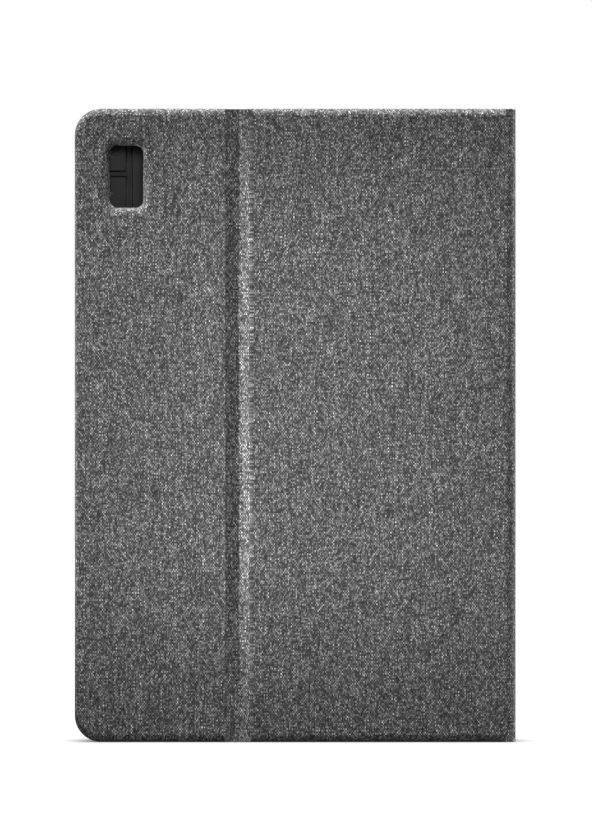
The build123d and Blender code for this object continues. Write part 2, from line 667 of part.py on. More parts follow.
with BuildPart() as charging_port:
    mouth_z = z_end + PORT_SINK
    mouth_w = PORT_W - 2 * PORT_WALL
    mouth_t = PORT_T - 2 * PORT_WALL
    with BuildSketch(Plane.XY.offset(mouth_z)):
        with Locations((CONTROL_X, PORT_Y)):
            RectangleRounded(PORT_W, PORT_T, PORT_R)
            RectangleRounded(mouth_w, mouth_t, PORT_R - PORT_WALL, mode=Mode.SUBTRACT)
    extrude(amount=PORT_LENGTH)
    with BuildSketch(Plane.XY.offset(mouth_z + PORT_LENGTH - PORT_BACK_T)):
        with Locations((CONTROL_X, PORT_Y)):
            RectangleRounded(PORT_W, PORT_T, PORT_R)
    extrude(amount=PORT_BACK_T)
    with BuildSketch(Plane.XY.offset(mouth_z + PORT_BACK_T)):
        with Locations((CONTROL_X, PORT_Y)):
            Rectangle(PORT_TONGUE_W, PORT_TONGUE_T)
    extrude(amount=PORT_TONGUE_LENGTH)
keep(charging_port.part, "charging_port")

with BuildPart() as power_switch:
    off_z = SWITCH_Z - SWITCH_TRAVEL / 2
    with BuildSketch(level(DECK_TOP + SWITCH_SINK)):
        with Locations((CONTROL_X, off_z)):
            RectangleRounded(SWITCH_W, SWITCH_H, SWITCH_R)
    extrude(amount=SWITCH_T)
    with BuildSketch(level(DECK_IN + SWITCH_FOOT_SINK)):
        with Locations((CONTROL_X, off_z)):
            Rectangle(SWITCH_FOOT_W, SWITCH_FOOT_H)
    extrude(amount=SWITCH_FOOT_T)
keep(power_switch.part, "power_switch")

with BuildPart() as pairing_button:
    with BuildSketch(level(DECK_IN + BUTTON_SINK)):
        with Locations((CONTROL_X, BUTTON_Z)):
            Circle(BUTTON_R)
    extrude(amount=BUTTON_SINK + DECK_T + BUTTON_RISE)
    chamfer(pairing_button.faces().sort_by(Axis.Y)[0].edges(), BUTTON_CHAMFER)
keep(pairing_button.part, "pairing_button")

with BuildPart() as status_lights:
    light_foot = BASE_IN - LIGHT_FOOT
    with BuildSketch(level(light_foot)):
        with Locations(*light_spots):
            Circle(LIGHT_R)
    extrude(amount=light_foot - DECK_TOP)
keep(status_lights.part, "status_lights")
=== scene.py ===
"""Looks for a fabric tablet keyboard case, built round its CAD frame.

The folio's cloth, linings and folds are modelled here. The tray and the keyboard keep their CAD shapes
and get their finishes, and the keycaps get printed legends.
"""

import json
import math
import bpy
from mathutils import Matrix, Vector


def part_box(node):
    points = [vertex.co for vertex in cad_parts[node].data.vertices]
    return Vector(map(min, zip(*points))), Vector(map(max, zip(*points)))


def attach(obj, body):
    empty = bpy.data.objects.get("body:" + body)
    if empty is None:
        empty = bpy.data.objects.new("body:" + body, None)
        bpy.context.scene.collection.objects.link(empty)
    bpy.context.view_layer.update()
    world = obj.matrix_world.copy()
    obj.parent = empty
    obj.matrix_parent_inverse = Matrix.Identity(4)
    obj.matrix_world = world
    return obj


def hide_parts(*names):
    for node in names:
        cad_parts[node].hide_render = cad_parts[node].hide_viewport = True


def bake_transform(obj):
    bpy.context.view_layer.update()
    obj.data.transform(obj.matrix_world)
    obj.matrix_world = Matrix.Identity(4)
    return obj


bl_info = {
    "name": "Tablet Keyboard Case",
    "version": (1, 0, 0),
    "blender": (4, 5, 0),
    "location": "View3D > Sidebar > Case",
    "description": "Heathered cloth folio with a moulded tablet tray and a slim keyboard",
    "category": "Object",
}

import bmesh
import bpy
from bpy.props import FloatProperty, FloatVectorProperty, IntProperty, PointerProperty
from bpy.types import Operator, Panel, PropertyGroup
from mathutils import Matrix, Vector

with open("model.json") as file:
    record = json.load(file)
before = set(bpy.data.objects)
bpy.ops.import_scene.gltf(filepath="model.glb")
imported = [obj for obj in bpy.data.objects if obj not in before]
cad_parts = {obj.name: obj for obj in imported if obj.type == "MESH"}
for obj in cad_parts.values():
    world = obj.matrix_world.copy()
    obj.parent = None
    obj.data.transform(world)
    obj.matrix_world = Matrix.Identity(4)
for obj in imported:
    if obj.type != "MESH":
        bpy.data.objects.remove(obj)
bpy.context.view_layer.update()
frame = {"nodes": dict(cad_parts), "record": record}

MM = 0.001
CLOTH_MAP = "cloth"
LEVEL_RING = 1.1  # the level ring inside a rolled rim starts at this many widths of the roll

# ---- stations of the frame, metres ----
UPPER_LOW, UPPER_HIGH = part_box("back_upper_fabric")
LOWER_LOW, LOWER_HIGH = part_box("back_lower_fabric")
FRONT_LOW, FRONT_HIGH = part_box("front_cover_fabric")
SPINE_LOW, SPINE_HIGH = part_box("spine_fabric")
FREE_EDGE = UPPER_LOW.x
HEIGHT = UPPER_HIGH.z
BACK_OUT = UPPER_LOW.y
PANEL_T = UPPER_HIGH.y - UPPER_LOW.y
CLOTH_T = PANEL_T - 0.05 * MM  # the cloth is turned in over this much of a panel's thickness
COVER_END = LOWER_HIGH.x
SPINE_OUT = SPINE_HIGH.x
FOLD_R = SPINE_OUT - COVER_END
FOLD_Y = SPINE_HIGH.y

# ---- cloth and lining of the folds, which have no board ----
FOLD_CLOTH_T = 0.6 * MM
FOLD_LINING_T = 0.5 * MM
FOLD_GAP = 0.15 * MM  # between a spine fold's cloth and its lining
FOLD_STEPS = 14  # facets across a spine fold

# ---- printed legends ----
LETTER_SIZE = 4.6 * MM
WORD_SIZE = 2.9 * MM
INK_T = 0.02 * MM


# ---------------------------------------------------------------- settings


class CoverSettings(PropertyGroup):
    corner_radius: FloatProperty(
        name="Corner radius", description="Free-edge corners", default=10.5 * MM, unit="LENGTH"
    )
    edge_roll: FloatProperty(
        name="Edge roll",
        description="Rounding of the cloth over the board's ends",
        default=2.9 * MM,
        unit="LENGTH",
    )
    free_edge_roll: FloatProperty(
        name="Free edge roll",
        description="Width of the rounding on the free edge, where the cloth is pulled tighter",
        default=1.2 * MM,
        unit="LENGTH",
    )
    spine_roll: FloatProperty(
        name="Spine roll",
        description="Rounding of the cloth over the spine's ends",
        default=1.8 * MM,
        unit="LENGTH",
    )
    window_roll: FloatProperty(
        name="Window roll",
        description="Rounding of the cloth into the camera window",
        default=3.4 * MM,
        unit="LENGTH",
    )
    window_corner: FloatProperty(
        name="Window corner",
        description="Corner radius of the camera window",
        default=3.0 * MM,
        unit="LENGTH",
    )
    groove_depth: FloatProperty(
        name="Groove depth", description="Depth of the stand fold's trough", default=1.8 * MM, unit="LENGTH"
    )
    groove_shoulder: FloatProperty(
        name="Groove shoulder",
        description="Width over which the trough turns level at the lower panel",
        default=1.5 * MM,
        unit="LENGTH",
    )
    turn_in: FloatProperty(
        name="Turn-in", description="Cloth showing round the lining", default=3.2 * MM, unit="LENGTH"
    )
    suede_t: FloatProperty(
        name="Suede",
        description="Thickness of the lining that stands proud",
        default=0.3 * MM,
        unit="LENGTH",
    )
    roll_steps: IntProperty(name="Roll steps", description="Facets across a rolled edge", default=7, min=3)


class ClothSettings(PropertyGroup):
    warp_pitch: FloatProperty(
        name="Warp pitch", description="Spacing of the upright yarns", default=0.51 * MM, unit="LENGTH"
    )
    weft_pitch: FloatProperty(
        name="Weft pitch", description="Spacing of the level yarns", default=0.67 * MM, unit="LENGTH"
    )
    streak_length: FloatProperty(
        name="Streak length", description="Crossings over which a yarn's shade changes", default=20.0, min=1
    )
    warp_streak: FloatProperty(
        name="Warp streak", description="Spread of shade along an upright yarn", default=0.6, min=0
    )
    weft_streak: FloatProperty(
        name="Weft streak", description="Spread of shade along a level yarn", default=0.33, min=0
    )
    fleck: FloatProperty(
        name="Fleck", description="Spread of shade from one crossing to the next", default=0.62, min=0
    )
    warp_lift: FloatProperty(
        name="Warp lift", description="How much lighter the upright yarns are dyed", default=0.35, min=0
    )
    hide: FloatProperty(
        name="Hide", description="How much of the yarn on top shows at a crossing", default=0.6, min=0, max=1
    )
    # painted shade: the colour left in the gaps between yarns, where shade falls
    painted_gap_shade: FloatProperty(
        name="Gap shade", description="Brightness left between two yarns", default=0.45, min=0
    )
    relief: FloatProperty(
        name="Relief", description="Height of a yarn's crown", default=0.02 * MM, unit="LENGTH"
    )
    # painted highlight: the groove's cloth is made this many times lighter than the panels' to stand for the
    # light the groove catches
    groove_painted_highlight_tone: FloatProperty(
        name="Groove highlight tone",
        description="Brightness of the groove's flattened yarns as a multiple of the panels'",
        default=1.15,
        min=0,
    )
    yarn: FloatVectorProperty(
        name="Yarn",
        description="Middle shade of the dyed yarn",
        subtype="COLOR",
        size=3,
        default=(0.143, 0.143, 0.144),
    )


class StageSettings(PropertyGroup):
    camera_distance: FloatProperty(
        name="Camera distance", description="From the back cover to the lens", default=2.6, unit="LENGTH"
    )
    camera_height: FloatProperty(
        name="Camera height", description="Lens above the floor", default=0.132, unit="LENGTH"
    )
    camera_side: FloatProperty(
        name="Camera side", description="Lens to the right of the middle", default=0.0003, unit="LENGTH"
    )
    view_height: FloatProperty(
        name="View height", description="Height seen at the back cover", default=0.3285, unit="LENGTH"
    )
    surround: FloatProperty(
        name="Surround", description="Strength of the surrounding light", default=0.12, min=0
    )
    # reach of the painted contact shadow on the floor
    contact_reach: FloatProperty(
        name="Contact reach",
        description="Width of the soft shadow where the case stands",
        default=14 * MM,
        unit="LENGTH",
    )


# ---------------------------------------------------------------- helpers


def linear(hex_colour):
    """An sRGB hex colour as linear red, green, blue and alpha."""
    values = [int(hex_colour[i : i + 2], 16) / 255 for i in (1, 3, 5)]
    return [v / 12.92 if v <= 0.04045 else ((v + 0.055) / 1.055) ** 2.4 for v in values] + [1.0]


def add_node(tree, kind, settings=None, links=None):
    """Add a node, set its properties, and fill its inputs with values or with other nodes' outputs."""
    made = tree.nodes.new(kind)
    for name, value in (settings or {}).items():
        setattr(made, name, value)
    for socket, value in (links or {}).items():
        if isinstance(value, bpy.types.NodeSocket):
            tree.links.new(value, made.inputs[socket])
        else:
            made.inputs[socket].default_value = value
    return made


def new_material(name):
    """An empty material with its output and its Principled shader."""
    material = bpy.data.materials.new(name)
    material.use_nodes = True
    tree = material.node_tree
    tree.nodes.clear()
    output = add_node(tree, "ShaderNodeOutputMaterial")
    shader = add_node(tree, "ShaderNodeBsdfPrincipled")
    tree.links.new(shader.outputs["BSDF"], output.inputs["Surface"])
    return material, tree, shader


def finish_piece(bm, name, material, body=None, node=None, smooth=40):
    """Turn a bmesh into a piece that rides on a body and stands for a CAD node."""
    mesh = bpy.data.meshes.new(name)
    bm.to_mesh(mesh)
    bm.free()
    mesh.materials.append(material)
    piece = bpy.data.objects.new(name, mesh)
    bpy.context.scene.collection.objects.link(piece)
    if smooth:
        mesh.shade_smooth()
        mesh.set_sharp_from_angle(angle=math.radians(smooth))
    if body:
        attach(piece, body)
    if node:
        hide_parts(node)
    return piece


def outline(low, high, radii, y=0.0, segments=10):
    """The points of a rectangle in x and z; radii round its corners at the low x and the high x end."""
    work = bmesh.new()
    corners = [(low[0], low[1]), (high[0], low[1]), (high[0], high[1]), (low[0], high[1])]
    verts = [work.verts.new((x, y, z)) for x, z in corners]
    work.faces.new(verts)
    for pair, radius in (((verts[0], verts[3]), radii[0]), ((verts[1], verts[2]), radii[1])):
        if radius:
            bmesh.ops.bevel(
                work,
                geom=list(pair),
                offset=radius,
                segments=segments,
                profile=0.5,
                affect="VERTICES",
                material=-1,
            )
    points = [vert.co.copy() for vert in work.faces[:][0].verts]
    work.free()
    return points


def add_loop(bm, points):
    """Closed loop of edges through the points."""
    verts = [bm.verts.new(p) for p in points]
    return [bm.edges.new((verts[i - 1], verts[i])) for i in range(len(verts))]


def roll_profile(depth, thickness, steps):
    """How far in and how deep each loop of a rolled rim lies: level ring, quarter turn, then wall."""
    angles = [math.pi / 2 * i / steps for i in range(steps + 1)]
    turn = [(1 - math.sin(a), depth * (1 - math.cos(a))) for a in angles]
    return [(LEVEL_RING, 0.0), *turn, (0.0, thickness)]


def rolled_plate(low, high, radii, rolls, depth, thickness, steps, hole=None):
    """A plate in x and z that faces -y at y = 0, with its rim rolled back to this depth.

    rolls are the widths of the rounding at its low x end, its high x end, and its two z ends. A hole is
    given by its lowest corner, its highest corner, its corner radius, and the width of its own rolled rim.
    """
    bm = bmesh.new()
    left, right, ends = rolls
    rims = []
    holes = []
    for share, y in roll_profile(depth, thickness, steps):
        inner_low = (low[0] + share * left, low[1] + share * ends)
        inner_high = (high[0] - share * right, high[1] - share * ends)
        inner_radii = [r and r - share * (side + ends) / 2 for r, side in zip(radii, (left, right))]
        rims.append(add_loop(bm, outline(inner_low, inner_high, inner_radii, y)))
        if hole:
            hole_low, hole_high, hole_radius, hole_roll = hole
            grown = share * hole_roll
            wide_low = (hole_low[0] - grown, hole_low[1] - grown)
            wide_high = (hole_high[0] + grown, hole_high[1] + grown)
            corner = hole_radius + grown
            holes.append(add_loop(bm, outline(wide_low, wide_high, (corner, corner), y)))
    for run in (rims, holes):
        for upper, lower in zip(run, run[1:]):
            bmesh.ops.bridge_loops(bm, edges=upper + lower)
    for end in (0, -1):
        edges = rims[end] + (holes[end] if hole else [])
        bmesh.ops.triangle_fill(bm, use_beauty=True, use_dissolve=False, edges=edges)
    bmesh.ops.recalc_face_normals(bm, faces=bm.faces[:])
    return bm


def lay_cloth(bm, run_start, run_sign):
    """Map the cloth on a plate: flat over its face, and on over every rim by how far it has turned back."""
    least_lean = 0.05  # a normal that leans less than this is the flat face's
    bm.normal_update()
    layer = bm.loops.layers.uv.new(CLOTH_MAP)
    for face in bm.faces:
        for loop in face.loops:
            co, normal = loop.vert.co, loop.vert.normal
            across = Vector((normal.x, normal.z))
            reach = across.normalized() * co.y if across.length > least_lean else Vector((0, 0))
            loop[layer].uv = (run_start + run_sign * (co.x + reach.x), co.z + reach.y)


def place_plate(bm, matrix):
    """Move a plate to its place, with its faces still pointing outwards."""
    bm.transform(matrix)
    bmesh.ops.recalc_face_normals(bm, faces=bm.faces[:])


def facing_back(y):
    """Puts a plate's face at depth y, facing the back."""
    return Matrix.Translation((0, y, 0))


def facing_front(y):
    """Puts a plate's face at depth y, facing the front."""
    return Matrix.Translation((0, y, 0)) @ Matrix.Scale(-1, 4, (0, 1, 0))


def facing_spine(x):
    """Puts a plate's face at station x, facing the spine's way, with its own x along y."""
    return Matrix.Translation((x, 0, 0)) @ Matrix.Rotation(math.pi / 2, 4, "Z")


def swept_strip(profile, thickness, z_low, z_high, run_start):
    """A strip of cloth swept up z from a profile in x and y, thickened on the profile's right-hand side."""
    bm = bmesh.new()
    verts = [bm.verts.new((x, y, z_low)) for x, y in profile]
    edges = [bm.edges.new(pair) for pair in zip(verts, verts[1:])]
    made = bmesh.ops.extrude_edge_only(bm, edges=edges)
    raised = [v for v in made["geom"] if isinstance(v, bmesh.types.BMVert)]
    bmesh.ops.translate(bm, verts=raised, vec=(0, 0, z_high - z_low))
    runs = [run_start]
    for (x0, y0), (x1, y1) in zip(profile, profile[1:]):
        runs.append(runs[-1] + math.hypot(x1 - x0, y1 - y0))
    layer = bm.loops.layers.uv.new(CLOTH_MAP)
    for face in bm.faces:
        for loop in face.loops:
            x, y, z = loop.vert.co
            gaps = [math.hypot(x - px, y - py) for px, py in profile]
            loop[layer].uv = (runs[gaps.index(min(gaps))], z)
    bmesh.ops.solidify(bm, geom=bm.faces[:], thickness=-thickness)
    bmesh.ops.recalc_face_normals(bm, faces=bm.faces[:])
    return bm


def arc(centre, radius, start_deg, end_deg, steps):
    """Points round a circle in x and y."""
    angles = [math.radians(start_deg + (end_deg - start_deg) * i / steps) for i in range(steps + 1)]
    return [(centre[0] + radius * math.cos(a), centre[1] + radius * math.sin(a)) for a in angles]


def trough(low_x, high_x, depth, shoulder, y, steps):
    """Points across the groove: it drops at once from the upper panel and levels out at the lower one."""
    width = high_x - low_x
    slopes = []
    for i in range(steps):
        t = (i + 0.5) / steps * width
        falling = 1 - 2 * t / (width - shoulder)
        levelling = (width - t) / shoulder
        slopes.append(falling if t < width - shoulder else -levelling)
    drops = [0.0]
    for slope in slopes:
        drops.append(drops[-1] + slope)
    level = [drop - drops[-1] * i / steps for i, drop in enumerate(drops)]
    return [(low_x + width * i / steps, y + depth * drop / max(level)) for i, drop in enumerate(level)]


# ---------------------------------------------------------------- materials


def heathered_cloth(name, painted_highlight_gain=1.0):
    """Polyester plain weave of heather yarns: each yarn's dye drifts along it, with a fleck at each crossing.

    It is matt with a faint sheen at grazing angles. The yarns are drawn about twice their real width so
    that they show.
    """
    cloth = bpy.context.scene.case_cloth
    wander_scale = 0.05  # waves per yarn width
    wander_reach = 1.2  # yarn widths
    yarn_stride = 7.31  # sets neighbouring yarns on unrelated lines of the noise
    weft_offset = 40.0  # and the weft apart from the warp
    fibre_gain = 8  # the noise keeps near a half, so its swing is widened
    fleck_gain = math.sqrt(12)  # gives evenly spread values a standard deviation of one
    dip_share = 0.6  # of its height that a yarn loses where it goes under the next
    material, tree, shader = new_material(name)

    def maths(operation, first, second=0.0, third=0.0):
        links = {0: first, 1: second, 2: third}
        return add_node(tree, "ShaderNodeMath", {"operation": operation}, links).outputs[0]

    def spread(noise, centre, width):
        """A noise value as a shade's spread either side of nought."""
        return maths("MULTIPLY", maths("SUBTRACT", noise, centre), width)

    def mix(share, without, with_share):
        links = {"Factor": share, 2: without, 3: with_share}
        return add_node(tree, "ShaderNodeMix", {"data_type": "FLOAT"}, links).outputs[0]

    layout = add_node(tree, "ShaderNodeUVMap", {"uv_map": CLOTH_MAP})
    yarns = add_node(
        tree,
        "ShaderNodeVectorMath",
        {"operation": "MULTIPLY"},
        {0: layout.outputs["UV"], 1: (1 / cloth.warp_pitch, 1 / cloth.weft_pitch, 0)},
    )
    # yarns wander a little from dead straight
    wander = add_node(
        tree,
        "ShaderNodeTexNoise",
        {"noise_dimensions": "2D"},
        {"Vector": yarns.outputs[0], "Scale": wander_scale, "Detail": 2.0},
    )
    shift = add_node(
        tree,
        "ShaderNodeVectorMath",
        {"operation": "SCALE"},
        {0: wander.outputs["Color"], "Scale": wander_reach},
    )
    placed = add_node(
        tree, "ShaderNodeVectorMath", {"operation": "ADD"}, {0: yarns.outputs[0], 1: shift.outputs[0]}
    )
    split = add_node(tree, "ShaderNodeSeparateXYZ", {}, {0: placed.outputs[0]})

    streaks = []
    profiles = []
    indices = []
    yarn_sets = ((1, 0, cloth.warp_streak, 0.0), (0, 1, cloth.weft_streak, weft_offset))
    for along, across, width, offset in yarn_sets:
        index = maths("FLOOR", split.outputs[across])
        row = maths("MULTIPLY_ADD", index, yarn_stride, offset)
        drift = maths("DIVIDE", split.outputs[along], cloth.streak_length)
        spot = add_node(tree, "ShaderNodeCombineXYZ", {}, {0: row, 1: drift})
        fibre = add_node(
            tree,
            "ShaderNodeTexNoise",
            {"noise_dimensions": "2D"},
            {"Vector": spot.outputs[0], "Scale": 1.0, "Detail": 4.0, "Roughness": 0.8, "Lacunarity": 2.6},
        )
        streaks.append(spread(fibre.outputs["Fac"], 0.5, fibre_gain * width))
        profiles.append(maths("SINE", maths("MULTIPLY", maths("FRACT", split.outputs[across]), math.pi)))
        indices.append(index)

    weft_on_top = maths("FLOORED_MODULO", maths("ADD", indices[0], indices[1]), 2.0)
    weft_shown = maths("MULTIPLY_ADD", weft_on_top, cloth.hide, (1 - cloth.hide) / 2)
    crossing = add_node(tree, "ShaderNodeCombineXYZ", {}, {0: indices[0], 1: indices[1]})
    flecks = add_node(
        tree, "ShaderNodeTexWhiteNoise", {"noise_dimensions": "2D"}, {"Vector": crossing.outputs[0]}
    )
    fleck = spread(flecks.outputs["Value"], 0.5, fleck_gain * cloth.fleck)
    lift = maths("MULTIPLY_ADD", weft_on_top, -2 * cloth.warp_lift, cloth.warp_lift)
    warp_share = maths("MULTIPLY", streaks[0], maths("SUBTRACT", 1.0, weft_shown))
    weft_share = maths("MULTIPLY", streaks[1], weft_shown)
    shade = maths("EXPONENT", maths("ADD", maths("ADD", fleck, lift), maths("ADD", warp_share, weft_share)))
    crown = mix(weft_on_top, profiles[0], profiles[1])
    dip = mix(weft_on_top, profiles[1], profiles[0])
    height = maths("MULTIPLY", crown, maths("MULTIPLY_ADD", dip, dip_share, 1 - dip_share))
    # a gain above one lightens the whole cloth, a painted highlight
    in_gap = painted_highlight_gain * cloth.painted_gap_shade
    over_gap = painted_highlight_gain * (1 - cloth.painted_gap_shade)
    # painted shade: the colour darkens from each yarn's crown towards the gaps beside it, where shade falls
    painted_relief_shade = maths("MULTIPLY_ADD", height, over_gap, in_gap)
    colour = add_node(
        tree,
        "ShaderNodeVectorMath",
        {"operation": "SCALE"},
        {0: tuple(cloth.yarn), "Scale": maths("MULTIPLY", shade, painted_relief_shade)},
    )
    bump = add_node(
        tree, "ShaderNodeBump", {}, {"Strength": 1.0, "Distance": cloth.relief, "Height": height}
    )
    tree.links.new(colour.outputs[0], shader.inputs["Base Color"])
    tree.links.new(bump.outputs["Normal"], shader.inputs["Normal"])
    shader.inputs["Roughness"].default_value = 0.9
    shader.inputs["Specular IOR Level"].default_value = 0.25
    shader.inputs["Sheen Weight"].default_value = 0.12
    shader.inputs["Sheen Roughness"].default_value = 0.5
    return material


def speckled(name, dark, light, grain, roughness, depth, sheen=0.0, metallic=0.0, spread=0.12, coat=0.0):
    """A surface with one fine random grain: colour between two tones, and the same grain as relief."""
    cloud_grains = 25  # width of a cloud of wear, in grains
    wear = 0.05  # roughness gained or lost by it
    material, tree, shader = new_material(name)
    place = add_node(tree, "ShaderNodeTexCoord")
    grain_noise = add_node(
        tree,
        "ShaderNodeTexNoise",
        {},
        {"Vector": place.outputs["Object"], "Scale": 1 / grain, "Detail": 4.0, "Roughness": 0.6},
    )
    ramp = add_node(tree, "ShaderNodeValToRGB", {}, {"Fac": grain_noise.outputs["Fac"]})
    steps = ramp.color_ramp.elements
    steps[0].position, steps[0].color = 0.5 - spread, linear(dark)
    steps[1].position, steps[1].color = 0.5 + spread, linear(light)
    clouds = add_node(
        tree,
        "ShaderNodeTexNoise",
        {},
        {"Vector": place.outputs["Object"], "Scale": 1 / (cloud_grains * grain), "Detail": 3.0},
    )
    worn = add_node(
        tree,
        "ShaderNodeMapRange",
        {},
        {
            "Value": clouds.outputs["Fac"],
            "From Min": 0.3,
            "From Max": 0.7,
            "To Min": roughness - wear,
            "To Max": roughness + wear,
        },
    )
    bump = add_node(
        tree,
        "ShaderNodeBump",
        {},
        {"Strength": 0.5, "Distance": depth, "Height": grain_noise.outputs["Fac"]},
    )
    tree.links.new(ramp.outputs["Color"], shader.inputs["Base Color"])
    tree.links.new(worn.outputs["Result"], shader.inputs["Roughness"])
    tree.links.new(bump.outputs["Normal"], shader.inputs["Normal"])
    shader.inputs["Metallic"].default_value = metallic
    shader.inputs["Sheen Weight"].default_value = sheen
    shader.inputs["Coat Weight"].default_value = coat
    return material


# name: material, darker tone, lighter tone, grain in mm, roughness, relief in mm, and what else differs
SPECKLED = {
    # suede, brushed so that its nap is faintly cloudy
    "lining": ("brushed_microfibre", "#1c1c1d", "#2b2b2d", 0.5, 0.9, 0.05, {"sheen": 0.35}),
    # off a spark-eroded mould, softly matt
    "tray": ("spark_textured_tpu", "#262627", "#2e2e2f", 0.35, 0.55, 0.03, {}),
    "case": ("fine_textured_abs", "#343436", "#3c3c3e", 0.25, 0.48, 0.02, {}),
    # the coat is UV-cured
    "keycap": ("satin_coated_abs", "#343436", "#3a3a3c", 0.2, 0.42, 0.01, {"coat": 0.1}),
    "control": ("grey_moulded_abs", "#4b4b4d", "#58585a", 0.2, 0.45, 0.01, {}),
    "ink": ("pad_printed_ink", "#a9abad", "#b6b8ba", 0.3, 0.6, 0.005, {}),
    "board": ("grey_pulp_board", "#7b766e", "#958f86", 0.8, 0.95, 0.05, {}),
    "glue": ("acrylic_glue_film", "#9c9a92", "#aaa89f", 1.5, 0.3, 0.02, {}),
    "steel": ("cold_rolled_steel", "#8e8f91", "#a5a6a8", 0.3, 0.35, 0.01, {"metallic": 1.0}),
    "magnet": ("nickel_plating", "#b4b2ad", "#c4c2bd", 0.6, 0.22, 0.01, {"metallic": 1.0}),
    "port": ("tin_plated_steel", "#a0a1a3", "#b5b6b8", 0.3, 0.3, 0.01, {"metallic": 1.0}),
    "film": ("polyester_circuit_film", "#b9b8ac", "#cbcabf", 1.0, 0.25, 0.01, {}),
    "silicone": ("moulded_silicone", "#c9c9c6", "#d8d8d5", 0.6, 0.5, 0.02, {}),
    "pouch": ("aluminium_laminate", "#a8a9ab", "#c0c1c3", 0.8, 0.35, 0.03, {"metallic": 0.9}),
    "mask": ("green_solder_mask", "#123a24", "#1a4a2f", 0.7, 0.3, 0.01, {}),
    # clear, with a frosted face
    "pipe": ("frosted_acrylic", "#c6cdc6", "#d6dcd6", 0.2, 0.3, 0.01, {}),
}


def finishes():
    """Every finish by name, made once."""
    made = {}
    made["cloth"] = heathered_cloth("heathered_polyester_plain_weave")
    # the same cloth, heat-pressed into the groove and made lighter there: a painted highlight for the light
    # the groove catches
    made["pressed"] = heathered_cloth("heat_pressed_plain_weave", bpy.context.scene.case_cloth.groove_painted_highlight_tone)
    for finish, (name, dark, light, grain, roughness, relief, more) in SPECKLED.items():
        made[finish] = speckled(name, dark, light, grain * MM, roughness, relief * MM, **more)
    return made


FINISH = {}

NODE_FINISH = {
    "tray": ["tablet_tray"],
    "case": ["keyboard_top_case", "keyboard_base"],
    "control": ["power_switch", "pairing_button"],
    "board": ["back_upper_board", "back_lower_board", "front_cover_board", "spine_board"],
    "glue": ["tray_adhesive", "keyboard_adhesive"],
    "steel": ["key_backplate", "keyboard_screws"],
    "magnet": ["tray_magnets", "docking_magnets", "back_closure_magnets", "front_closure_magnets"],
    "port": ["charging_port"],
    "film": ["key_membrane"],
    "silicone": ["rubber_dome_sheet"],
    "pouch": ["battery_pack"],
    "mask": ["controller_board"],
    "pipe": ["status_lights"],
}

# Legends of each node of keys, from the user's left.
LEGENDS = {
    "escape_key": ["esc"],
    "function_keys": [f"F{i}" for i in range(1, 13)],
    "lock_key": ["lock"],
    "number_keys": list("1234567890-="),
    "backspace_key": ["back"],
    "tab_key": ["tab"],
    "upper_letter_keys": list("QWERTYUIOP[]"),
    "backslash_key": ["\\"],
    "caps_lock_key": ["caps"],
    "home_letter_keys": list("ASDFGHJKL;'"),
    "enter_key": ["enter"],
    "left_shift_key": ["shift"],
    "lower_letter_keys": list("ZXCVBNM,./"),
    "up_arrow_key": ["up"],
    "right_shift_key": ["shift"],
    "control_key": ["ctrl"],
    "fn_key": ["fn"],
    "menu_key": ["menu"],
    "left_alt_key": ["alt"],
    "space_bar": [],
    "right_alt_key": ["alt"],
    "right_control_key": ["ctrl"],
    "left_arrow_key": ["left"],
    "down_arrow_key": ["down"],
    "right_arrow_key": ["right"],
}


# ---------------------------------------------------------------- pieces


def window_corners():
    """Lowest and highest x and z of the cloth's window, round the opening in the record."""
    margin = 0.6 * MM
    sill_margin = 1.3 * margin
    openings = frame["record"]["physics"]["openings"]
    low, high = next(o["box_m"] for o in openings if o["name"] == "camera_window")
    return (low[0] - margin, low[2] - sill_margin), (high[0] + margin, high[2] + margin)


class CASE_OT_back_cover(Operator):
    """Make the two cloth panels of the back cover, with the camera window"""

    bl_idname = "case.back_cover"
    bl_label = "Back cover"

    def execute(self, context):
        cover = context.scene.case_cover
        depth = cover.edge_roll
        window = (*window_corners(), cover.window_corner, cover.window_roll)
        panels = (
            ("back_upper", FREE_EDGE, UPPER_HIGH.x, cover.corner_radius, cover.free_edge_roll, window),
            ("back_lower", LOWER_LOW.x, COVER_END, 0, 0, None),
        )
        for body, x_low, x_high, corner, side_roll, hole in panels:
            rolls = (side_roll, 0, cover.edge_roll)
            low, high = (x_low, 0), (x_high, HEIGHT)
            bm = rolled_plate(low, high, (corner, 0), rolls, depth, CLOTH_T, cover.roll_steps, hole)
            lay_cloth(bm, 0, 1)
            place_plate(bm, facing_back(BACK_OUT))
            piece = finish_piece(
                bm, f"{body}_cloth", FINISH["cloth"], body, f"{body}_fabric"
            )
        return {"FINISHED"}


class CASE_OT_front_cover(Operator):
    """Make the front cover's cloth panel"""

    bl_idname = "case.front_cover"
    bl_label = "Front cover"

    def execute(self, context):
        cover = context.scene.case_cover
        y_out = FRONT_HIGH.y
        rolls = (cover.free_edge_roll, 0, cover.edge_roll)
        low, high = (FREE_EDGE, 0), (COVER_END, HEIGHT)
        radii = (cover.corner_radius, 0)
        bm = rolled_plate(low, high, radii, rolls, cover.edge_roll, CLOTH_T, cover.roll_steps)
        turned_spine = 2 * (math.pi / 2 * FOLD_R) + 2 * FOLD_Y
        lay_cloth(bm, 2 * COVER_END + turned_spine, -1)
        place_plate(bm, facing_front(y_out))
        piece = finish_piece(
            bm, "front_cover_cloth", FINISH["cloth"], "front_cover", "front_cover_fabric"
        )
        return {"FINISHED"}


